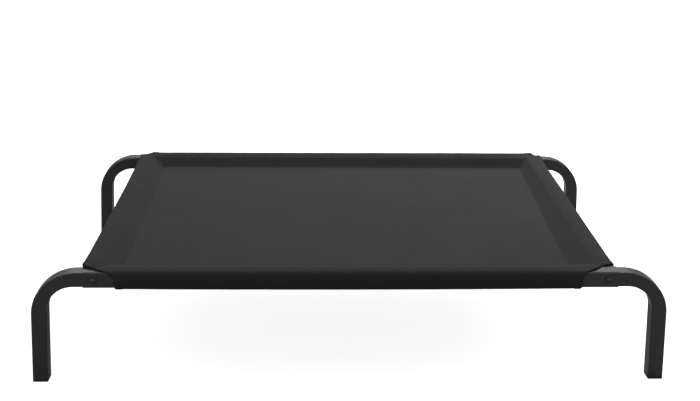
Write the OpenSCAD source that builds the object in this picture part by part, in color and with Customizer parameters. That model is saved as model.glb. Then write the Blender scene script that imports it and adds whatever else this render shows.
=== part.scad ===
// Raised dog cot: a cloth deck sewn into sleeves round a bolted frame of square steel tube.
// Millimetres, +Z up, +X along the long side, front towards -Y, origin on the floor below the middle.

/* [Size] */
// Width across the outside of the feet
foot_span = 1070; // [960:10:1160]
// Depth across the outside of the two long rails
depth = 650; // [520:10:760]
// Height of the top of the bare rails above the floor
height = 200; // [170:5:300]

/* [Tube] */
// Outside width of the square tube of the rails
tube = 28; // [24:1:30]
// Wall thickness of the rails and of the legs
tube_wall = 1.2; // [0.8:0.1:1.6]
// Outside radius of the rails' long edges
tube_corner = 3; // [2.5:0.5:5]
// Radius of the outer face where a leg bends down
bend_outer = 79; // [70:1:85]
// Radius of the inner face of that bend, where the tube is pressed a little flat
bend_inner = 46; // [40:1:52]
// Angle in degrees by which each leg leans outwards
leg_lean = 3.25; // [0:0.25:5]
// Straight length of a leg that shows between the end of its rail and the bend
rail_to_bend = 9; // [4:0.5:40]
// Length of a leg inside the end of its rail
leg_insert = 70; // [40:1:150]
// Length of the long rails past their bolts
rail_past_bolt = 17.5; // [10:0.5:30]

/* [Fasteners] */
// Thread diameter of the corner bolts
bolt_d = 6; // [5:1:8]
// Bolt length from under the head
bolt_length = 46; // [40:1:50]
// Height of the button head over the thread diameter
head_ratio = 0.55; // [0.45:0.05:0.7]
// Thickness of the flat washers
flat_washer_t = 1.6; // [1:0.1:2]
// Thickness of the spring washers
spring_washer_t = 1.6; // [1:0.1:2]
// Width of the split in a spring washer
spring_washer_split = 1.2; // [0.8:0.1:2]
// Length of the threaded plugs in the end rails
plug_length = 30; // [20:1:60]

/* [Feet] */
// Thickness of the foot under the end of the leg
foot_flange = 4; // [2:0.5:8]
// Length of the foot's spigot inside the leg
foot_spigot = 22; // [10:1:40]

/* [Cover] */
// Thickness of the cover cloth
cloth = 1.2; // [0.8:0.1:2]
// Distance of the seam below the top of the tube
seam_drop = 14; // [8:0.5:18]
// Distance from the long rails to the long seams
side_pocket = 27; // [20:1:60]
// Distance from the end rails to the short seams
end_pocket = 35; // [20:1:60]
// Width of the hem under the deck, inside the seam
hem = 12; // [8:1:20]
// Length cut off each side at the cover's corners
corner_cut = 29.5; // [26:0.5:60]

/* [Clearances] */
// Gap between faces that rest on each other
seat = 0.05; // [0.02:0.01:0.1]
// Gap round the plugs and spigots in the tube
plug_fit = 0.15; // [0.1:0.05:0.3]
// Radial gap round the thread in a plug or washer
thread_fit = 0.15; // [0.1:0.05:0.3]
// Gap round the legs inside the rails
slide_fit = 0.15; // [0.1:0.05:0.3]
// Radial gap round the bolts in the rails and legs
hole_fit = 0.4; // [0.2:0.1:0.6]
// Gap between the cloth and the tube, and between pieces of cloth
cloth_gap = 0.4; // [0.3:0.1:0.8]

/* [Hidden] */
$fn = 64;

// Rails
half_tube = tube / 2;
bore = tube - 2 * tube_wall;
bore_corner = tube_corner - tube_wall;
rail_z = height - half_tube;
rail_y = depth / 2 - half_tube;

// Legs: a stub in the rail, an arc of 90 degrees less the lean, a straight leg
leg_tube = bore - 2 * slide_fit;
half_leg = leg_tube / 2;
leg_corner = bore_corner - slide_fit;
leg_top = rail_z + half_leg;
bend_turn = 90 - leg_lean;
bend_x = foot_span / 2 - leg_top * tan(leg_lean) - bend_outer * tan(bend_turn / 2);
bend_z = leg_top - bend_outer;
leg_under = leg_top - leg_tube;
inner_leg_x = foot_span / 2 - leg_under * tan(leg_lean) - leg_tube / cos(leg_lean);
inner_bend_x = inner_leg_x - bend_inner * tan(bend_turn / 2);
inner_bend_z = leg_under - bend_inner;
leg_start_x = bend_x - rail_to_bend - leg_insert;
// Depth of the swept section behind its rounded face, and least radius of a rounded edge
section_reach = tube + 5;
least_corner = 0.3;
// Overlaps of the swept pieces, so that no two faces only graze each other
bend_angle_over = 3;
bend_length_over = 2;
hair = 0.02;

// Bolted joints
rail_end_x = bend_x - rail_to_bend;
end_x = rail_end_x - rail_past_bolt;
rail_end_y = depth / 2 - tube - seat;
// Heads and washers follow the thread as in the usual button-head sizes
head_d = 1.75 * bolt_d;
head_h = head_ratio * bolt_d;
socket_d = 0.75 * bolt_d;
socket_depth = 0.6 * head_h;
flat_washer_d = 2 * bolt_d;
spring_washer_d = 1.9 * bolt_d;
washer_stack = flat_washer_t + spring_washer_t + 2 * seat;

// Cover: outer faces, seam lines and the plane of the corner cut
wrap = cloth_gap + cloth;
seam_z = height - seam_drop;
inner_x = end_x - half_tube;
inner_y = depth / 2 - tube;
seam_x = inner_x - end_pocket;
seam_y = inner_y - side_pocket;
cut_sum = end_x + half_tube + depth / 2 + 2 * wrap - corner_cut;
// Straight steps in a fold round the tube's edge
fold_steps = 5;
// Length past everything, and length by which a cut runs past a face
far = foot_span;
spare = 1;

module rounded_square(size, corner) {
    r = max(corner, least_corner);
    square([size, size - 2 * r], center = true);
    square([size - 2 * r, size], center = true);
    for (u = [-1, 1], v = [-1, 1])
        translate([u * (size / 2 - r), v * (size / 2 - r)])
            circle(r);
}

module tube_section() {
    difference() {
        rounded_square(tube, tube_corner);
        rounded_square(bore, bore_corner);
    }
}

// Bolt holes across both ends of a long rail, or across a leg's stub
module bolt_holes() {
    for (side = [-1, 1])
        translate([side * end_x, 0, rail_z])
            rotate([90, 0, 0])
                cylinder(d = bolt_d + 2 * hole_fit, h = 2 * tube, center = true);
}

module long_rail() {
    color("#222325")
        difference() {
            translate([0, 0, rail_z])
                rotate([90, 0, 90])
                    linear_extrude(2 * rail_end_x, center = true)
                        tube_section();
            bolt_holes();
        }
}

module end_rail() {
    color("#26272a")
        translate([0, 0, rail_z])
            rotate([90, 0, 0])
                linear_extrude(2 * rail_end_y, center = true)
                    tube_section();
}

// Leg section open on one side, with its rounded face at height -inset
module face_section(inset, widen) {
    half = half_leg - inset + widen;
    r = max(leg_corner - inset, least_corner);
    translate([-half, -section_reach])
        square([2 * half, section_reach - inset - r]);
    translate([-half + r, -section_reach])
        square([2 * (half - r), section_reach - inset]);
    for (side = [-1, 1])
        translate([side * (half - r), -inset - r])
            circle(r);
}

// Length of the straight leg from a bend to below the floor
function leg_run(z, radius) = (z + radius * sin(leg_lean)) / cos(leg_lean) + tube;

// Sweeps one face of a leg along the stub, round the bend and down the right leg; flip 1 turns the
// face to the inside of the bend. The three pieces overlap by an angle of the bend or a length of the
// straights, and the bend is larger by a hair.
module along_leg(start_x, x, z, radius, flip, angle_over, length_over, inset, widen) {
    translate([start_x, 0, z + radius])
        rotate([90, 0, 90])
            linear_extrude(x - start_x + length_over)
                mirror([0, flip, 0])
                    face_section(inset, widen);
    translate([x, 0, z]) {
        rotate([90, 0, 0])
            rotate([0, 0, leg_lean - angle_over])
                rotate_extrude(angle = bend_turn + 2 * angle_over)
                    translate([radius + hair, 0])
                        rotate(-90)
                            mirror([0, flip, 0])
                                face_section(inset, widen + hair);
        rotate([0, bend_turn, 0])
            translate([-length_over, 0, radius])
                rotate([90, 0, 90])
                    linear_extrude(leg_run(z, radius) + 2 * length_over)
                        mirror([0, flip, 0])
                            face_section(inset, widen);
    }
}

// The bent bar is what lies inside the outer face and outside the inner face
module bent_bar(inset, start_x) {
    intersection() {
        along_leg(start_x - spare, bend_x, bend_z, bend_outer, 0, bend_angle_over, 0, inset, 0);
        along_leg(start_x, inner_bend_x, inner_bend_z, bend_inner, 1, 0, bend_length_over, inset, 2 * hair);
    }
}

// One leg, mirrored to the left for side 1 and to the rear for end 1
module leg(side, end) {
    color("#222325")
        mirror([side, 0, 0])
            mirror([0, end, 0])
                translate([0, -rail_y, 0])
                    difference() {
                        bent_bar(0, leg_start_x);
                        bent_bar(tube_wall, leg_start_x - spare);
                        translate([-far, -far, foot_flange + seat - far])
                            cube([2 * far, 2 * far, far]);
                        bolt_holes();
                    }
}

// Stands on the outer face of a long rail at a joint, with +Z into the joint; end 0 is the front
module at_joint(side, end) {
    mirror([0, end, 0])
        translate([side * end_x, -depth / 2, rail_z])
            rotate([-90, 0, 0])
                children();
}

module at_joints() {
    for (side = [-1, 1], end = [0, 1])
        at_joint(side, end)
            children();
}

module rail_plug(side, end) {
    color("#8d8f92")
        at_joint(side, end)
            translate([0, 0, tube + seat])
                linear_extrude(plug_length)
                    difference() {
                        rounded_square(bore - 2 * plug_fit, bore_corner - plug_fit);
                        circle(d = bolt_d + 2 * thread_fit);
                    }
}

module ring(outer_d, thickness) {
    linear_extrude(thickness)
        difference() {
            circle(d = outer_d);
            circle(d = bolt_d + 2 * thread_fit);
        }
}

module bolt() {
    dome = (head_d * head_d / 4 + head_h * head_h) / (2 * head_h);
    translate([0, 0, -washer_stack - seat]) {
        cylinder(d = bolt_d, h = bolt_length);
        difference() {
            intersection() {
                translate([0, 0, -head_h])
                    cylinder(d = head_d, h = head_h);
                translate([0, 0, dome - head_h])
                    sphere(dome);
            }
            translate([0, 0, -head_h - spare])
                cylinder(d = socket_d, h = socket_depth + spare, $fn = 6);
        }
    }
}

module corner_bolts() {
    color("#2b2c2e")
        at_joints()
            bolt();
}

module flat_washers() {
    color("#5c5e61")
        at_joints()
            translate([0, 0, -flat_washer_t - seat])
                ring(flat_washer_d, flat_washer_t);
}

module spring_washers() {
    color("#48494c")
        at_joints()
            translate([0, 0, -washer_stack])
                difference() {
                    ring(spring_washer_d, spring_washer_t);
                    translate([0, -spring_washer_split / 2, -spare])
                        cube([spring_washer_d, spring_washer_split, spring_washer_t + 2 * spare]);
                }
}

// Straight part of the right leg as a solid bar, made smaller all round by inset
module leg_bar(inset) {
    translate([bend_x, 0, bend_z])
        rotate([0, bend_turn, 0])
            translate([0, 0, bend_outer - half_leg])
                rotate([90, 0, 90])
                    linear_extrude(leg_run(bend_z, bend_outer))
                        rounded_square(leg_tube - 2 * inset, leg_corner - inset);
}

module between(low, high) {
    translate([-far, -far, low])
        cube([2 * far, 2 * far, high - low]);
}

module foot(side, end) {
    color("#1c1c1d")
        mirror([side, 0, 0])
            mirror([0, end, 0])
                translate([0, -rail_y, 0]) {
                    intersection() {
                        leg_bar(0);
                        between(0, foot_flange);
                    }
                    intersection() {
                        leg_bar(tube_wall + plug_fit);
                        between(foot_flange / 2, foot_flange + foot_spigot);
                    }
                }
}

// Points of an arc about (u, v)
function arc(u, v, r, from, to) =
    [for (i = [0:fold_steps]) [u + r * cos(from + (to - from) * i / fold_steps),
                               v + r * sin(from + (to - from) * i / fold_steps)]];

// Direction from a corner's centre to where a line from the point (u, v) touches its arc
function touch(u, v, r, side) = atan2(v, u) + side * acos(r / sqrt(u * u + v * v));

// Outline round the tube at a distance grow, drawn in to a tip of height 2 * thick at the seam
function pocket_outline(grow, tip_u, tip_v, thick) =
    let (c = half_tube - tube_corner, r = tube_corner + grow)
    concat(
        arc(c, c, r, touch(tip_u - c, tip_v + thick - c, r, 1), 90),
        arc(-c, c, r, 90, 180),
        arc(-c, -c, r, 180, 270),
        arc(c, -c, r, 270, 360 + touch(tip_u - c, tip_v - thick + c, r, -1)),
        [[tip_u, tip_v - thick], [tip_u, tip_v + thick]]
    );

module sleeve_section(pocket) {
    tip_u = half_tube + pocket;
    tip_v = seam_z - rail_z - cloth;
    difference() {
        union() {
            polygon(pocket_outline(wrap, tip_u, tip_v, cloth));
            translate([tip_u - cloth, tip_v - cloth])
                square([hem + cloth, 2 * cloth]);
        }
        polygon(pocket_outline(cloth_gap, tip_u - 2 * cloth, tip_v, cloth / 10));
    }
}

// Space beyond the slanted cut at the four corners of the cover
module corner_space() {
    for (u = [-1, 1], v = [-1, 1])
        translate([u * cut_sum / 2, v * cut_sum / 2, height + wrap])
            rotate([0, asin(1 / sqrt(3)), atan2(v, u)])
                translate([0, -far, -far])
                    cube(2 * far);
}

// Plan of a sleeve along X: all of the tube, and the pocket up to the mitre at both ends
module sleeve_plan(in_x, in_y, slope_x, slope_y) {
    deep = slope_y + hem + spare;
    tip_x = in_x - deep * slope_x / slope_y;
    polygon([
        [-far, -far], [far, -far], [far, -in_y - cloth_gap],
        [in_x - cloth_gap, -in_y - cloth_gap], [tip_x - cloth_gap, -in_y + deep],
        [cloth_gap - tip_x, -in_y + deep], [cloth_gap - in_x, -in_y - cloth_gap],
        [-far, -in_y - cloth_gap]
    ]);
}

module sleeve(tube_y, reach, in_x, in_y, slope_x, slope_y) {
    intersection() {
        translate([0, -tube_y, rail_z])
            rotate([90, 0, 90])
                linear_extrude(2 * reach, center = true)
                    sleeve_section(slope_y);
        linear_extrude(2 * height)
            sleeve_plan(in_x, in_y, slope_x, slope_y);
    }
}

module side_sleeve() {
    color("#2f3032")
        difference() {
            sleeve(rail_y, end_x + half_tube + wrap, inner_x, inner_y, end_pocket, side_pocket);
            corner_space();
        }
}

module end_sleeve() {
    color("#2f3032")
        difference() {
            rotate([0, 0, 90])
                sleeve(end_x, inner_y - cloth_gap, inner_y, inner_x, side_pocket, end_pocket);
            corner_space();
        }
}

module deck_panel() {
    color("#3d3e40")
        translate([cloth_gap - seam_x, cloth_gap - seam_y, seam_z + cloth_gap])
            cube([2 * (seam_x - cloth_gap), 2 * (seam_y - cloth_gap), cloth]);
}

module front_long_rail() {
    translate([0, -rail_y, 0])
        long_rail();
}

module rear_long_rail() {
    translate([0, rail_y, 0])
        long_rail();
}

module left_end_rail() {
    translate([-end_x, 0, 0])
        end_rail();
}

module right_end_rail() {
    translate([end_x, 0, 0])
        end_rail();
}

module front_left_leg() {
    leg(1, 0);
}

module front_right_leg() {
    leg(0, 0);
}

module rear_left_leg() {
    leg(1, 1);
}

module rear_right_leg() {
    leg(0, 1);
}

module front_left_rail_plug() {
    rail_plug(-1, 0);
}

module front_right_rail_plug() {
    rail_plug(1, 0);
}

module rear_left_rail_plug() {
    rail_plug(-1, 1);
}

module rear_right_rail_plug() {
    rail_plug(1, 1);
}

module front_left_foot() {
    foot(1, 0);
}

module front_right_foot() {
    foot(0, 0);
}

module rear_left_foot() {
    foot(1, 1);
}

module rear_right_foot() {
    foot(0, 1);
}

module front_sleeve() {
    side_sleeve();
}

module rear_sleeve() {
    rotate([0, 0, 180])
        side_sleeve();
}

module left_sleeve() {
    rotate([0, 0, 180])
        end_sleeve();
}

module right_sleeve() {
    end_sleeve();
}

front_long_rail();
rear_long_rail();
left_end_rail();
right_end_rail();
front_left_leg();
front_right_leg();
rear_left_leg();
rear_right_leg();
front_left_rail_plug();
front_right_rail_plug();
rear_left_rail_plug();
rear_right_rail_plug();
corner_bolts();
spring_washers();
flat_washers();
front_left_foot();
front_right_foot();
rear_left_foot();
rear_right_foot();
deck_panel();
front_sleeve();
rear_sleeve();
left_sleeve();
right_sleeve();
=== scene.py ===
"""Raised dog cot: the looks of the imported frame, with the cover as stretched cloth."""

import math
from collections import namedtuple

import bpy
import bmesh
from mathutils import Matrix, Vector, noise


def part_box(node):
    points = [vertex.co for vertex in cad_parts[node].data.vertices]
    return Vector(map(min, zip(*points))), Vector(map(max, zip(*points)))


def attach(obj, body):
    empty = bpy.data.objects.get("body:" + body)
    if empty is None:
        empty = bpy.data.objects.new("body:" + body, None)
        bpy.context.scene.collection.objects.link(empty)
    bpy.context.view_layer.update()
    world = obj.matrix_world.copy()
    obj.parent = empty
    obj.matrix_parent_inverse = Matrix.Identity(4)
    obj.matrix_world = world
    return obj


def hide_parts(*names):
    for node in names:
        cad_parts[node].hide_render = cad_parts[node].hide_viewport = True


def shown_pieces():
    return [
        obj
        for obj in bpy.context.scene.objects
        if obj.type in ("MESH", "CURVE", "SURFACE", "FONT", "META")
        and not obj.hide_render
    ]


MM = 0.001
SIDES = (-1, 1)

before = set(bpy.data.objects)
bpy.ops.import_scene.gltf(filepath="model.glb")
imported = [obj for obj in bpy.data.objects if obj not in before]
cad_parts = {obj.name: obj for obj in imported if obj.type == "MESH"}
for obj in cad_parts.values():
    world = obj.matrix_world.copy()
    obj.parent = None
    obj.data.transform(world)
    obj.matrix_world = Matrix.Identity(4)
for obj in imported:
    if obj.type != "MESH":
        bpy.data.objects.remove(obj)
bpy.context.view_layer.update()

# Places read from the frame, in metres; the seam lies just outside the deck's solid
SEAM_GAP = 0.4 * MM
rail_low, rail_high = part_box("front_long_rail")
end_low, end_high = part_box("right_end_rail")
deck_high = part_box("deck_panel")[1]
HALF_TUBE = (rail_high.z - rail_low.z) / 2
RAIL_Z = (rail_high.z + rail_low.z) / 2
LONG_Y = -(rail_high.y + rail_low.y) / 2
END_X = (end_high.x + end_low.x) / 2
SEAM_X = deck_high.x + SEAM_GAP
SEAM_Y = deck_high.y + SEAM_GAP
INNER_X = END_X - HALF_TUBE
INNER_Y = LONG_Y - HALF_TUBE

# Cloth, its hem under the deck's seam, its hem at the free ends and the fold at the seam
CLOTH = 1.2 * MM
SEAM_HEM = 12 * MM
SEAM_HEM_ROWS = 3
SEAM_UNDER = -2.2 * MM
SEAM_FOLD = 0.5 * MM
TUCK = 1.0 * MM
TUCK_REACH = 2 * MM
EDGE_HEM = 10 * MM
EDGE_THREAD = EDGE_HEM - 2 * MM

# Slope from the seam up to the tube: its top, how soft its foot is, and its rounding at the mitres
SLOPE_TOP = 14.4 * MM
SLOPE_ROWS = 12
CORNER_SOFT = 0.1
SOFT_REACH = 150 * MM
MITRE_ROUND = 8 * MM
MITRE_FADE_IN = (0, 0.4)
MITRE_FADE_OUT = (0.6, 1)

# Cloth round a tube: outward and upward from the tube's centre, in millimetres
WRAP = [
    # Top
    (-14, 14.4), (-8.5, 15.4), (-3, 16.05), (2, 16.2), (6.5, 15.8), (12.7, 14.6),
    # Outer side
    (15.6, 12.3), (16.7, 8.9), (17, 4.5), (17, -3), (16.7, -9.5), (15.4, -13.6),
    # Bottom
    (11.5, -15.4), (3.5, -15.9), (-5.5, -15.8), (-12.3, -15.2),
]
WRAP_STEPS = 3
CREST = 16.2 * MM
OUTER_FACE = 17 * MM
UNDER_MIDDLE = -8.6 * MM

# Slack and rise of the cloth on its tube, its turn to the outer side, and the bow of its underside;
# pairs are the places between which an effect sets in
LOOSE_OUT = (-1 * MM, 12 * MM)
LOOSE_UP = (-15 * MM, 3 * MM)
LOOSE_LIFT = 0.2
RISE_SHARE = (0.9, 1.95)
RISE_UP = (-2 * MM, 12 * MM)
SIDE_OUT = (10.5 * MM, 16.5 * MM)
BOTTOM_BOW = 1.5 * MM
BOTTOM_DEPTH = 15 * MM

# Lip at the free edges
LIP_RISE = 0.7 * MM
LIP_REACH = 9 * MM
LIP_LOWEST = -12 * MM
LIP_OUT = (-4 * MM, 3 * MM)

# Unevenness of the sleeves: folds and ripples, per metre along and round the tube, with shifts that make
# the long sleeves differ from the end sleeves
WRINKLE = 0.35 * MM
FOLDS_ALONG = 28
FOLDS_ROUND = 60
FOLDS_SHIFT = 90
RIPPLE_SHARE = 0.6
RIPPLES_ALONG = 95
RIPPLES_ROUND = 30
RIPPLES_SHIFT = 7.3

# Cover at a corner:
# cut, the distance |x| + |y| at which the mitre ends and the free edges start, square to the mitre
# long and short, how much the long and the end sleeve fall short of that at their outer edges, or, where
# negative, reach past it
# fall, how much more they shorten on their way down the tube
# pull, how far outward the seam at the deck's end is pulled
# settle, the length over which the cloth comes down to the tube
Corner = namedtuple("Corner", "cut long short fall pull settle")
CORNERS = {
    "front_left": Corner(735 * MM, 3 * MM, -6 * MM, 17 * MM, 8 * MM, 12 * MM),
    "front_right": Corner(717.5 * MM, 4 * MM, -12 * MM, 8 * MM, -7 * MM, 30 * MM),
    "rear_left": Corner(740 * MM, 0, 0, 12 * MM, 10 * MM, 30 * MM),
    "rear_right": Corner(752 * MM, 0, 0, 24 * MM, 13 * MM, 30 * MM),
}

# At the free edges: depth of the fall, place from which an edge is short in full, where a turned-in end lies,
# and the height to which the cloth settles, with the share of the way that it comes down
FALL_DEPTH = 5 * MM
SHORT_IN_FULL = 14.5 * MM
TURN_IN = 14.8 * MM
REST_HEIGHT = 15.1 * MM
SETTLED = 0.8

# Columns of points along a sleeve: millimetres from an end, then even cells to the middle
END_COLUMNS = (0, 1, 2.5, 4.5, 7, 9.7, 10.3, 13, 17, 22, 29, 38, 50)
HALF_CELLS = 44

# Stitches: length, width and height, distance apart, taper along a stitch, section across it, and the
# distance below which two points of a line count as one
STITCH = (3.0 * MM, 0.5 * MM, 0.32 * MM)
STITCH_STEP = 4.0 * MM
STITCH_TAPER = ((-0.5, 0.35), (-0.3, 1), (0.3, 1), (0.5, 0.35))
STITCH_SECTION = ((-1, 0), (-0.6, 0.8), (0.6, 0.8), (1, 0))
SAME_PLACE = 1e-9

# Deck: sag, cells along and across, unevenness, and two rows of stitches inside its seam with their cells
DECK_SAG = 4 * MM
DECK_COLUMNS = 100
DECK_ROWS = 72
DECK_FOLDS = 11
DECK_FOLD_SHARE = 0.8
DECK_FOLD_SHIFT = 2.5
DECK_FOLD_EDGE = 30 * MM
DECK_THREADS = (3 * MM, 9 * MM)
THREAD_CELLS = 60

# Weave, and the shares of ribs, patches and fibres in the cloth's tone
WEAVE_PITCH = 1.6 * MM
BASE_TONE = 0.66
RIB_TONE = 0.16
PATCH_TONE = 0.24
FIBRE_TONE = 0.28
FIBRE_HEIGHT = 0.5

# Coatings: how much their gloss and their colour vary
GLOSS_SPREAD = 0.08
DARKEST = 0.8
LIGHTEST = 1.2

# Camera at the photograph's place, with its focal length in pixels of the photograph
PHOTO_WIDTH = 700
FOCAL_PIXELS = 1050.0
EYE = Vector((-0.0769, -1.8972, 0.8895))
YAW = math.radians(2.519)
PITCH = math.radians(19.737)
ROLL = math.radians(-0.971)
SENSOR = 36
FARTHEST = 50

# Light: where the room gets brighter, from which to which level, and a soft lamp
ROOM_LEVEL = 0.56
ROOM_BEHIND = {"From Min": 0.0, "From Max": 0.9, "To Min": 0.0, "To Max": 0.8}
ROOM_ABOVE = {"From Min": 0.25, "From Max": 0.42, "To Min": -0.4, "To Max": 1.0}
LAMP_PLACE = (0.9, 1.45, 1.0)
LAMP_TARGET = Vector((0, 0, 0.2))
LAMP_POWER = 39
LAMP_SIZE = 1.2

# Floor: its half size, its tones for bounced light and for the camera, and its glow for the camera
FLOOR_HALF = 12
FLOOR_BOUNCE = (0.24, 0.24, 0.24, 1)
FLOOR_SEEN = (0.62, 0.6, 0.59, 1)
FLOOR_GLOW = 0.835
FLOOR_GLOW_COLOUR = (0.985, 0.995, 1, 1)


def smooth(low, high, value):
    """Goes from 0 at low to 1 at high, level at both."""
    t = min(1, max(0, (value - low) / (high - low)))
    return t * t * (3 - 2 * t)


# Each sleeve: its rail, its corners from t = -1 to t = 1, the softness of its slope, its slack on the outer
# side and its rise above the tube at t, and the turn that maps (outward, along, up) on its tube to the cot
SleevePlan = namedtuple("SleevePlan", "rail corners soft slack rise turn")
SLEEVES = {
    "front_sleeve": SleevePlan(
        rail="front_long_rail",
        corners=("front_left", "front_right"),
        soft=1.5,
        slack=lambda t: 0.6 * MM,
        rise=lambda t: 0,
        turn=lambda p: Vector((p.y, -LONG_Y - p.x, RAIL_Z + p.z)),
    ),
    "rear_sleeve": SleevePlan(
        rail="rear_long_rail",
        corners=("rear_right", "rear_left"),
        soft=0.12,
        slack=lambda t: 0.6 * MM,
        rise=lambda t: (2.7 - 0.8 * t) * MM,
        turn=lambda p: Vector((-p.y, LONG_Y + p.x, RAIL_Z + p.z)),
    ),
    "left_sleeve": SleevePlan(
        rail="left_end_rail",
        corners=("rear_left", "front_left"),
        soft=0.12,
        slack=lambda t: (0.3 + 4.7 * smooth(-0.6, 1, t)) * MM,
        rise=lambda t: (1.2 * smooth(-0.8, -1, t) + 3.0 * smooth(0.7, 1, t)) * MM,
        turn=lambda p: Vector((-END_X - p.x, -p.y, RAIL_Z + p.z)),
    ),
    "right_sleeve": SleevePlan(
        rail="right_end_rail",
        corners=("front_right", "rear_right"),
        soft=0.06,
        slack=lambda t: (0.3 + 2.0 * smooth(-1, 1, t)) * MM,
        rise=lambda t: 2.8 * MM * smooth(0.8, 1, t),
        turn=lambda p: Vector((END_X + p.x, p.y, RAIL_Z + p.z)),
    ),
}

# One end of one sleeve: a corner's values, with the place of the seam's end along the tube
SleeveEnd = namedtuple("SleeveEnd", "cut shorter fall seam pull settle")


def end_number(t):
    """Number of the sleeve's end that is nearer to t."""
    return int(t > 0)


def catmull(points, steps):
    """Smooth polyline through the points, with steps pieces between neighbours."""
    out = []
    for i in range(len(points) - 1):
        a, b = points[i], points[i + 1]
        before = points[i - 1] if i else 2 * a - b
        after = points[i + 2] if i + 2 < len(points) else 2 * b - a
        for k in range(steps):
            t = k / steps
            square = (2 * before - 5 * a + 4 * b - after) * t**2
            cube = (3 * a - before - 3 * b + after) * t**3
            out.append(0.5 * (2 * a + (b - before) * t + square + cube))
    out.append(points[-1].copy())
    return out


class Sleeve:
    """Cloth sleeve on a tube.

    w is outward and v upward from the tube's centre, and t goes from -1 to 1 along the tube. On the slope f
    is 0 at the seam and 1 at the tube. A row of points is (w, v, lengths from the middle to both ends).
    """

    def __init__(self, pocket, centre, inner, plan, ends):
        self.pocket = pocket
        self.centre = centre
        self.inner = inner
        self.plan = plan
        self.ends = ends
        self.rows = self.slope_rows() + self.wrap_rows() + self.hem_rows()

    def slope_rows(self):
        """Rows from the seam, tucked in below the deck, up to the tube."""
        shares = [-TUCK_REACH / self.pocket, 0, SEAM_FOLD / self.pocket]
        shares += [i / SLOPE_ROWS for i in range(1, SLOPE_ROWS)]
        rows = []
        for f in shares:
            lengths = tuple(end.seam + f * (self.inner - end.seam) for end in self.ends)
            rows.append((-HALF_TUBE - self.pocket * (1 - f), SLOPE_TOP * f, lengths))
        return rows

    def wrap_rows(self):
        """Rows over the tube, round it and back to the seam below the slope."""
        wrap = [Vector((w * MM, v * MM)) for w, v in WRAP]
        wrap.append(Vector((-HALF_TUBE - self.pocket / 2, UNDER_MIDDLE)))
        wrap.append(Vector((-HALF_TUBE - self.pocket, SEAM_UNDER)))
        return [
            (p.x, p.y, tuple(self.half_length(p.x, p.y, end) for end in self.ends))
            for p in catmull(wrap, WRAP_STEPS)
        ]

    def hem_rows(self):
        """Rows of the hem that lies under the deck's edge."""
        rows = []
        for k in range(1, SEAM_HEM_ROWS + 1):
            past = SEAM_HEM * k / SEAM_HEM_ROWS
            lengths = tuple(end.seam - past * (self.inner - end.seam) / self.pocket for end in self.ends)
            rows.append((-HALF_TUBE - self.pocket - past, SEAM_UNDER, lengths))
        return rows

    def slope(self, f, gap, end):
        """Height of the slope, rounded where it meets the slope of its neighbour at the mitre."""
        own = self.slope_curve(f, gap)
        neighbour = self.slope_curve(f - gap / (self.inner - end.seam), 0)
        width = MITRE_ROUND * smooth(*MITRE_FADE_IN, f) * (1 - smooth(*MITRE_FADE_OUT, f))
        apart = abs(own - neighbour)
        if apart >= width:
            return own
        return own + (1 - apart / width) ** 2 * width / 4

    def slope_curve(self, f, gap):
        """Height of the slope by itself: level at the seam, with one curve for all sleeves at their ends."""
        soft = CORNER_SOFT + (self.plan.soft - CORNER_SOFT) * smooth(0, SOFT_REACH, gap)
        if f <= 0:
            return TUCK * f * self.pocket / TUCK_REACH
        return SLOPE_TOP * (1 + soft) * f * f / (f + soft)

    def mitre_end(self, end):
        """Distance outward at which the mitre at an end stops and the free edge starts."""
        return (end.cut - self.centre - self.inner - HALF_TUBE) / 2

    def half_length(self, w, v, end):
        """Length from the middle to one end: up to the mitre on top, and to the cut past it."""
        mitre = self.inner + w + HALF_TUBE
        outward = w if v > 0 else OUTER_FACE
        edge = end.shorter * smooth(self.mitre_end(end), SHORT_IN_FULL, outward)
        down = end.fall * (1 - math.exp(-max(0, CREST - v) / FALL_DEPTH))
        reach = end.cut - self.centre - outward - edge - down
        if v > 0:
            return min(mitre, reach)
        return reach if w > -HALF_TUBE else max(reach, end.seam)

    def pull(self, f, t):
        """Distance outward by which the cloth between the tube and the seam is pulled."""
        first, last = self.ends
        return (first.pull + (last.pull - first.pull) * (1 + t) / 2) * min(1, max(0, 1 - f))

    def is_free(self, w, v, end):
        """True where the sleeve's end is a free edge and not sewn to its neighbour."""
        return v < 0 or w > self.mitre_end(end)

    def is_hemmed(self, w, v, end):
        """True where the free edge lies round the tube and has a hem."""
        return self.is_free(w, v, end) and w > -HALF_TUBE

    def turned(self, w, v, lengths, side):
        """End of the cloth turned in to the tube at a hemmed edge, and lowered a little elsewhere."""
        point = self.place(w, v, lengths, side)
        if self.is_hemmed(w, v, self.ends[end_number(side)]):
            point.x = min(TURN_IN, max(-TURN_IN, point.x))
            point.z = min(TURN_IN, max(-TURN_IN, point.z))
            point.y -= side * CLOTH
        else:
            point.z -= CLOTH / 2
        return point

    def lip(self, w, v, gap, end):
        """Height by which the cloth stands up at a free edge."""
        if not self.is_free(w, v, end) or v <= LIP_LOWEST:
            return 0
        return LIP_RISE * math.exp(-gap / LIP_REACH) * smooth(*LIP_OUT, w)

    def folds(self, w, v, along):
        """Unevenness of the cloth, which fades out at the seam."""
        fold_place = (along * FOLDS_ALONG, w * FOLDS_ROUND + self.centre * FOLDS_SHIFT, v * FOLDS_ROUND)
        ripple_place = (along * RIPPLES_ALONG, w * RIPPLES_ROUND, RIPPLES_SHIFT + self.centre)
        fold = WRINKLE * noise.noise(Vector(fold_place))
        fold += RIPPLE_SHARE * WRINKLE * noise.noise(Vector(ripple_place))
        return fold * smooth(-HALF_TUBE - self.pocket, -HALF_TUBE, w)

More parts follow.
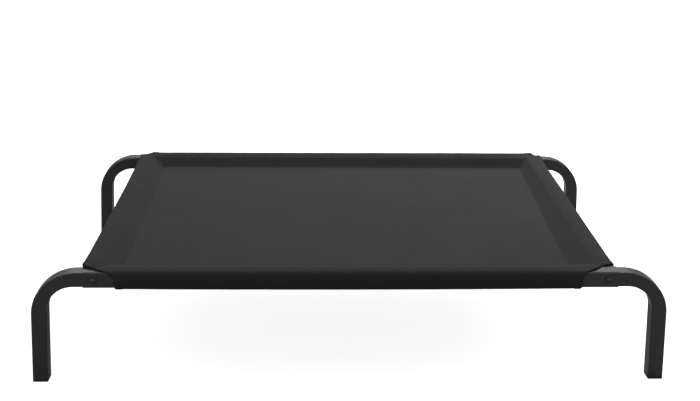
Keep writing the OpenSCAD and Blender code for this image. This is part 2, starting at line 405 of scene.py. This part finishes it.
    def place(self, w, v, lengths, t):
        """Point of the cloth, as (outward, along, up) from the middle of the tube."""
        end = self.ends[end_number(t)]
        length = lengths[end_number(t)]
        gap = (1 - abs(t)) * length
        f = 1 + (w + HALF_TUBE) / self.pocket
        if f < 1 and v > SEAM_UNDER:
            v = self.slope(f, gap, end)
        side = smooth(*SIDE_OUT, w)
        loose = self.plan.slack(t) * smooth(*LOOSE_OUT, w) * smooth(*LOOSE_UP, v)
        crest = self.plan.rise(t) * smooth(*RISE_SHARE, f) * smooth(*RISE_UP, v)
        uneven = self.lip(w, v, gap, end) + self.folds(w, v, t * length)
        drop = BOTTOM_BOW * (1 - t * t) * max(0, -v) / BOTTOM_DEPTH
        up = crest + LOOSE_LIFT * loose * (1 - side) + uneven * (1 - side) - drop
        if w > -HALF_TUBE and v > REST_HEIGHT:
            above = v + crest + LOOSE_LIFT * loose - REST_HEIGHT
            up -= SETTLED * above * math.exp(-((gap / end.settle) ** 2))
        outward = w + self.pull(f, t) + loose + uneven * side
        return Vector((outward, t * length, v + up))

    def grid(self, columns):
        """Rows of points, with a turned-in column at both ends."""
        return [
            [self.turned(w, v, lengths, -1)]
            + [self.place(w, v, lengths, t) for t in columns]
            + [self.turned(w, v, lengths, 1)]
            for w, v, lengths in self.rows
        ]


def end_columns(length):
    """Places from -1 to 1 along a sleeve, close together near both ends."""
    near_end = [1 - d * MM / length for d in END_COLUMNS]
    step = near_end[-1] / HALF_CELLS
    right = [step * k for k in range(1, HALF_CELLS)] + near_end[::-1]
    return [-t for t in right[::-1]] + [0] + right


def running_length(points):
    """Length of a polyline up to each of its points."""
    run = [0.0]
    for a, b in zip(points, points[1:]):
        run.append(run[-1] + (b - a).length)
    return run


def middle_column(grid):
    """Points of a grid's middle column, across the cloth."""
    return [row[len(row) // 2] for row in grid]


def grid_mesh(name, grid):
    """Mesh of a grid of points; its UV map holds metres along and across the cloth."""
    mesh = bpy.data.meshes.new(name)
    cols = len(grid[0])
    corners = [r * cols + c for r in range(len(grid) - 1) for c in range(cols - 1)]
    faces = [(k, k + 1, k + cols + 1, k + cols) for k in corners]
    mesh.from_pydata([p for row in grid for p in row], [], faces)
    across = running_length(middle_column(grid))
    along = [running_length(row) for row in grid]
    layer = mesh.uv_layers.new(name="cloth")
    for loop in mesh.loops:
        r, c = divmod(loop.vertex_index, cols)
        layer.data[loop.index].uv = (along[r][c] - along[r][cols // 2], across[r])
    for poly in mesh.polygons:
        poly.use_smooth = True
    mesh.update()
    return mesh


def add_piece(name, mesh, material):
    """Object of a mesh that rides on the cot's one body."""
    piece = bpy.data.objects.new(name, mesh)
    bpy.context.scene.collection.objects.link(piece)
    piece.data.materials.append(material)
    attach(piece, "root")
    return piece


def thicken(piece, doubled=()):
    """Gives a sheet its thickness, twice as much at the doubled vertices."""
    solid = piece.modifiers.new("thickness", "SOLIDIFY")
    solid.offset = 0
    solid.thickness = CLOTH
    if doubled:
        solid.thickness = 2 * CLOTH
        group = piece.vertex_groups.new(name="hem")
        group.add(range(len(piece.data.vertices)), 0.5, "REPLACE")
        group.add(list(doubled), 1.0, "REPLACE")
        solid.vertex_group = group.name


def add_stitch(build, at, ahead, up):
    """Adds one short thread, tapered at both ends."""
    long, wide, high = STITCH
    side = ahead.cross(up).normalized()
    rings = []
    for place, size in STITCH_TAPER:
        centre = at + ahead * (place * long)
        rings.append([
            build.verts.new(centre + side * (wide / 2 * size * u) + up * (high * size * v))
            for u, v in STITCH_SECTION
        ])
    for ring, following in zip(rings, rings[1:]):
        for k in range(len(STITCH_SECTION) - 1):
            build.faces.new((ring[k], ring[k + 1], following[k + 1], following[k]))
    build.faces.new(rings[0][::-1])
    build.faces.new(rings[-1])


def stitch_mesh(name, lines):
    """Stitches along lines of (point, normal) pairs."""
    build = bmesh.new()
    for line in lines:
        run = 0.0
        for (a, normal_a), (b, normal_b) in zip(line, line[1:]):
            length = (b - a).length
            if length < SAME_PLACE:
                continue
            ahead = (b - a) / length
            while run < length:
                up = normal_a.lerp(normal_b, run / length).normalized()
                add_stitch(build, a + ahead * run, ahead, up)
                run += STITCH_STEP
            run -= length
    build.normal_update()
    mesh = bpy.data.meshes.new(name)
    build.to_mesh(mesh)
    build.free()
    for poly in mesh.polygons:
        poly.use_smooth = True
    return mesh


def hem_lines(grid, columns, sleeve):
    """Lines of stitching on the hems at the free ends of a sleeve."""
    lines = []
    for k, side in enumerate(SIDES):
        line = []
        for r in range(1, len(grid) - 1):
            w, v, lengths = sleeve.rows[r]
            if not sleeve.is_hemmed(w, v, sleeve.ends[k]):
                continue
            t = side * (1 - EDGE_THREAD / lengths[k])
            c = max(i for i in range(len(columns) - 1) if columns[i] <= t)
            share = (t - columns[c]) / (columns[c + 1] - columns[c])
            here, ahead = grid[r][c + 1], grid[r][c + 2]
            across = grid[r + 1][c + 1] - grid[r - 1][c + 1]
            normal = across.cross(ahead - here).normalized()
            line.append((here.lerp(ahead, share) + normal * CLOTH, normal))
        lines.append(line)
    return lines


def hem_points(columns, sleeve):
    """Numbers of the grid's points in the doubled hems at the free ends of a sleeve."""
    per_row = len(columns) + 2
    points = []
    for r, (w, v, lengths) in enumerate(sleeve.rows):
        for c, t in enumerate(columns, 1):
            k = end_number(t)
            gap = (1 - abs(t)) * lengths[k]
            if sleeve.is_hemmed(w, v, sleeve.ends[k]) and gap < EDGE_HEM:
                points.append(r * per_row + c)
    return points


def planned_sleeve(plan):
    """Sleeve on its tube, with the values of its two corners."""
    corners = [CORNERS[name] for name in plan.corners]
    if plan.rail.endswith("long_rail"):
        ends = [SleeveEnd(c.cut, c.long, c.fall, SEAM_X + c.pull, 0, c.settle) for c in corners]
        return Sleeve(INNER_Y - SEAM_Y, LONG_Y, INNER_X, plan, ends)
    ends = [SleeveEnd(c.cut, c.short, c.fall, SEAM_Y, c.pull, c.settle) for c in corners]
    return Sleeve(INNER_X - SEAM_X, END_X, INNER_Y, plan, ends)


def build_sleeve(name, plan, material, thread):
    """One sleeve with the stitches of its hems."""
    sleeve = planned_sleeve(plan)
    columns = end_columns(sleeve.inner)
    grid = [[plan.turn(p) for p in row] for row in sleeve.grid(columns)]
    piece = add_piece(name + "_cloth", grid_mesh(name + "_cloth", grid), material)
    thicken(piece, hem_points(columns, sleeve))
    lines = hem_lines(grid, columns, sleeve)
    seams = add_piece(name + "_stitches", stitch_mesh(name + "_stitches", lines), thread)
    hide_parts(name)


def deck_height(x, y):
    """Height of the deck: a shallow sag with slight folds that fade out at the seam."""
    sag = DECK_SAG * (1 - (x / SEAM_X) ** 2) * (1 - (y / SEAM_Y) ** 2)
    edge = min(1, (SEAM_X - abs(x)) / DECK_FOLD_EDGE, (SEAM_Y - abs(y)) / DECK_FOLD_EDGE)
    place = Vector((x * DECK_FOLDS, y * DECK_FOLDS, DECK_FOLD_SHIFT))
    folds = DECK_FOLD_SHARE * WRINKLE * noise.noise(place) * max(0, edge)
    return RAIL_Z - sag + folds


def pulled(x, y):
    """Place along the deck, with its ends slanted as the pulled corners make them."""
    side = "right" if x > 0 else "left"
    front, rear = CORNERS["front_" + side].pull, CORNERS["rear_" + side].pull
    return x * (1 + (front + (rear - front) * (1 + y / SEAM_Y) / 2) / SEAM_X)


def deck_line(x0, y0, x1, y1):
    """Line of (point, normal) pairs on top of the deck."""
    line = []
    for k in range(THREAD_CELLS + 1):
        x = x0 + (x1 - x0) * k / THREAD_CELLS
        y = y0 + (y1 - y0) * k / THREAD_CELLS
        line.append((Vector((pulled(x, y), y, deck_height(x, y) + CLOTH / 2)), Vector((0, 0, 1))))
    return line


def even_places(half, cells):
    """Places from -half to half in even cells, with a narrow cell more at both ends."""
    places = [half * (2 * k / cells - 1) for k in range(cells + 1)]
    return [places[0], places[0] + SEAM_FOLD] + places[1:-1] + [places[-1] - SEAM_FOLD, places[-1]]


def build_deck(material, thread):
    """Deck panel with two rows of stitches along its four seams."""
    cols = even_places(SEAM_X, DECK_COLUMNS)
    rows = even_places(SEAM_Y, DECK_ROWS)
    grid = [[Vector((pulled(x, y), y, deck_height(x, y))) for x in cols] for y in rows]
    piece = add_piece("deck_cloth", grid_mesh("deck_cloth", grid), material)
    thicken(piece)
    lines = []
    for inset in DECK_THREADS:
        x, y = SEAM_X - inset, SEAM_Y - inset
        lines += [deck_line(-x, side * y, x, side * y) for side in SIDES]
        lines += [deck_line(side * x, -y, side * x, y) for side in SIDES]
    seams = add_piece("deck_stitches", stitch_mesh("deck_stitches", lines), thread)
    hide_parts("deck_panel")


def new_material(name):
    """Material with its node tree and its shader."""
    material = bpy.data.materials.new(name)
    material.use_nodes = True
    tree = material.node_tree
    return material, tree, tree.nodes["Principled BSDF"]


def set_inputs(node, values):
    """Sets a node's sockets by their names."""
    for name, value in values.items():
        node.inputs[name].default_value = value


def math_node(tree, kind, *values):
    """Output of a Math node on numbers and on outputs of other nodes."""
    node = tree.nodes.new("ShaderNodeMath")
    node.operation = kind
    for socket, value in zip(node.inputs, values):
        if isinstance(value, (int, float)):
            socket.default_value = value
        else:
            tree.links.new(value, socket)
    return node.outputs[0]


def noise_node(tree, scale, detail):
    """Output of a noise texture in the object's own metres."""
    place = tree.nodes.new("ShaderNodeTexCoord")
    texture = tree.nodes.new("ShaderNodeTexNoise")
    set_inputs(texture, {"Scale": scale, "Detail": detail})
    tree.links.new(place.outputs["Object"], texture.inputs["Vector"])
    return texture.outputs[0]


def add_bump(tree, shader, height, strength, distance):
    """Gives a shader the relief of a height."""
    bump = tree.nodes.new("ShaderNodeBump")
    set_inputs(bump, {"Strength": strength, "Distance": distance})
    tree.links.new(height, bump.inputs["Height"])
    tree.links.new(bump.outputs[0], shader.inputs["Normal"])


def weave_ribs(tree):
    """Height of a plain weave, from two crossed waves in the cloth's own metres."""
    uv = tree.nodes.new("ShaderNodeUVMap")
    uv.uv_map = "cloth"
    parts = tree.nodes.new("ShaderNodeSeparateXYZ")
    tree.links.new(uv.outputs[0], parts.inputs[0])
    waves = []
    for place in parts.outputs[:2]:
        angle = math_node(tree, "MULTIPLY", place, math.pi / WEAVE_PITCH)
        waves.append(math_node(tree, "SINE", angle))
    return math_node(tree, "ABSOLUTE", math_node(tree, "MULTIPLY", *waves))


def cloth_material(name, colour, sheen):
    """Plain weave with uneven patches and fine fibres."""
    material, tree, shader = new_material(name)
    ribs = weave_ribs(tree)
    patches = noise_node(tree, scale=9, detail=4)
    fibres = noise_node(tree, scale=420, detail=3)
    tone = BASE_TONE
    for part, share in ((ribs, RIB_TONE), (patches, PATCH_TONE), (fibres, FIBRE_TONE)):
        tone = math_node(tree, "ADD", tone, math_node(tree, "MULTIPLY", part, share))
    grey = tree.nodes.new("ShaderNodeCombineColor")
    for channel in grey.inputs:
        tree.links.new(tone, channel)
    mix = tree.nodes.new("ShaderNodeMix")
    mix.data_type = "RGBA"
    mix.blend_type = "MULTIPLY"
    set_inputs(mix, {"Factor": 1, "A": (*colour, 1)})
    tree.links.new(grey.outputs[0], mix.inputs["B"])
    tree.links.new(mix.outputs["Result"], shader.inputs["Base Color"])
    height = math_node(tree, "ADD", ribs, math_node(tree, "MULTIPLY", fibres, FIBRE_HEIGHT))
    add_bump(tree, shader, height, strength=0.35, distance=0.0003)
    gloss = {"Roughness": 0.75, "Specular IOR Level": 0.1, "Sheen Weight": sheen, "Sheen Roughness": 0.3}
    set_inputs(shader, gloss)
    return material


def coated_material(name, colour, roughness, grain, depth):
    """Surface with a fine grain and slightly uneven gloss and colour."""
    material, tree, shader = new_material(name)
    fine = noise_node(tree, scale=grain, detail=3)
    broad = noise_node(tree, scale=14, detail=5)
    gloss = tree.nodes.new("ShaderNodeMapRange")
    set_inputs(gloss, {"To Min": roughness - GLOSS_SPREAD, "To Max": roughness + GLOSS_SPREAD})
    tree.links.new(broad, gloss.inputs["Value"])
    tree.links.new(gloss.outputs[0], shader.inputs["Roughness"])
    ramp = tree.nodes.new("ShaderNodeValToRGB")
    for element, level in zip(ramp.color_ramp.elements, (DARKEST, LIGHTEST)):
        element.color = (*[c * level for c in colour], 1)
    tree.links.new(broad, ramp.inputs[0])
    tree.links.new(ramp.outputs[0], shader.inputs["Base Color"])
    add_bump(tree, shader, fine, strength=0.25, distance=depth)
    return material


def frame_paint():
    """Satin black powder coat."""
    colour = (0.034, 0.0342, 0.035)
    material = coated_material("frame_paint", colour, roughness=0.24, grain=1400, depth=0.0002)
    set_inputs(material.node_tree.nodes["Principled BSDF"], {"Specular IOR Level": 0.68})
    return material


def plug_steel():
    """Plain steel."""
    material = coated_material("plug_steel", (0.5, 0.5, 0.51), roughness=0.35, grain=900, depth=0.0002)
    set_inputs(material.node_tree.nodes["Principled BSDF"], {"Metallic": 0.9})
    return material


def foot_plastic():
    """Black moulded plastic."""
    return coated_material("foot_plastic", (0.014, 0.014, 0.015), roughness=0.55, grain=2200, depth=0.0001)


def bolt_black():
    """Black oxide on the bolts."""
    return coated_material("bolt_black", (0.034, 0.034, 0.0345), roughness=0.38, grain=900, depth=0.0002)


def washer_steel():
    """Black oxide on the washers, a little lighter."""
    return coated_material("washer_steel", (0.038, 0.038, 0.0385), roughness=0.4, grain=900, depth=0.0002)


def thread_material():
    """Black thread, lighter than the cloth."""
    return coated_material("thread", (0.036, 0.036, 0.037), roughness=0.7, grain=2600, depth=0.0001)


def dress_frame():
    """Gives each solid of the frame its material, by the ending of its name."""
    paint = frame_paint()
    looks = {
        "long_rail": paint,
        "end_rail": paint,
        "leg": paint,
        "foot": foot_plastic(),
        "bolts": bolt_black(),
        "washers": washer_steel(),
        "plug": plug_steel(),
    }
    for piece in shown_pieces():
        for ending, material in looks.items():
            if piece.name.endswith(ending):
                piece.data.materials.clear()
                piece.data.materials.append(material)


def set_camera():
    """Camera at the photograph's place."""
    level = math.cos(PITCH)
    ahead = Vector((math.sin(YAW) * level, math.cos(YAW) * level, -math.sin(PITCH)))
    level_right = Vector((math.cos(YAW), -math.sin(YAW), 0))
    level_down = ahead.cross(level_right)
    right = level_right * math.cos(ROLL) + level_down * math.sin(ROLL)
    down = level_down * math.cos(ROLL) - level_right * math.sin(ROLL)
    camera = bpy.data.cameras.new("camera")
    camera.sensor_width = SENSOR
    camera.lens = FOCAL_PIXELS / PHOTO_WIDTH * SENSOR
    camera.clip_end = FARTHEST
    holder = bpy.data.objects.new("camera", camera)
    bpy.context.scene.collection.objects.link(holder)
    turn = Matrix((right, -down, -ahead)).transposed()
    holder.matrix_world = Matrix.Translation(EYE) @ turn.to_4x4()
    bpy.context.scene.camera = holder


def room_ramp(tree, value, levels):
    """Output that goes smoothly from one level to another as a value rises."""
    node = tree.nodes.new("ShaderNodeMapRange")
    node.interpolation_type = "SMOOTHSTEP"
    set_inputs(node, levels)
    tree.links.new(value, node.inputs["Value"])
    return node.outputs[0]


def light_room():
    """Room that is brightest high up behind the cot, darkest low behind it, and white to the camera."""
    world = bpy.data.worlds.new("room")
    bpy.context.scene.world = world
    world.use_nodes = True
    tree = world.node_tree
    back = tree.nodes["Background"]
    place = tree.nodes.new("ShaderNodeTexCoord")
    parts = tree.nodes.new("ShaderNodeSeparateXYZ")
    tree.links.new(place.outputs["Generated"], parts.inputs[0])
    behind = room_ramp(tree, parts.outputs["Y"], ROOM_BEHIND)
    above = room_ramp(tree, parts.outputs["Z"], ROOM_ABOVE)
    level = math_node(tree, "MULTIPLY_ADD", behind, above, ROOM_LEVEL)
    path = tree.nodes.new("ShaderNodeLightPath")
    seen = tree.nodes.new("ShaderNodeMix")
    seen.data_type = "FLOAT"
    tree.links.new(path.outputs["Is Camera Ray"], seen.inputs["Factor"])
    tree.links.new(level, seen.inputs["A"])
    seen.inputs["B"].default_value = 1.0
    tree.links.new(seen.outputs["Result"], back.inputs["Strength"])
    back.inputs["Color"].default_value = (1, 1, 1, 1)


def add_lamp():
    """Soft lamp behind the cot on the right, which doesn't show in reflections."""
    lamp = bpy.data.lights.new("window", "AREA")
    lamp.energy = LAMP_POWER
    lamp.size = LAMP_SIZE
    holder = bpy.data.objects.new("window", lamp)
    bpy.context.scene.collection.objects.link(holder)
    holder.location = LAMP_PLACE
    holder.visible_glossy = False
    holder.rotation_euler = (LAMP_TARGET - holder.location).to_track_quat("-Z", "Y").to_euler()


def build_floor():
    """White floor for the camera, with a faint shadow; a grey one for light that bounces off it."""
    mesh = bpy.data.meshes.new("floor")
    corners = [(x * FLOOR_HALF, y * FLOOR_HALF, 0) for x, y in ((-1, -1), (1, -1), (1, 1), (-1, 1))]
    mesh.from_pydata(corners, [], [(0, 1, 2, 3)])
    floor = bpy.data.objects.new("floor", mesh)
    bpy.context.scene.collection.objects.link(floor)
    material, tree, shader = new_material("floor_white")
    path = tree.nodes.new("ShaderNodeLightPath")
    tint = tree.nodes.new("ShaderNodeMix")
    tint.data_type = "RGBA"
    set_inputs(tint, {"A": FLOOR_BOUNCE, "B": FLOOR_SEEN})
    tree.links.new(path.outputs["Is Camera Ray"], tint.inputs["Factor"])
    tree.links.new(tint.outputs["Result"], shader.inputs["Base Color"])
    set_inputs(shader, {"Roughness": 0.9, "Specular IOR Level": 0, "Emission Color": FLOOR_GLOW_COLOUR})
    glow = math_node(tree, "MULTIPLY", path.outputs["Is Camera Ray"], FLOOR_GLOW)
    tree.links.new(glow, shader.inputs["Emission Strength"])
    floor.data.materials.append(material)


def main():
    """Dresses the frame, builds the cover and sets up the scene."""
    bpy.context.scene.view_settings.view_transform = "Standard"
    dress_frame()
    thread = thread_material()
    # One fabric in two colours: the sleeves' cloth is darker and the deck's lighter, as painted shade on the
    # sleeves' slopes and faces against the deck
    sleeve_cloth = cloth_material("sleeve_cloth", (0.028, 0.028, 0.0285), sheen=0.04)
    for name, plan in SLEEVES.items():
        build_sleeve(name, plan, sleeve_cloth, thread)
    build_deck(cloth_material("deck_cloth", (0.035, 0.035, 0.0355), sheen=0.03), thread)
    set_camera()
    light_room()
    add_lamp()
    build_floor()


main()
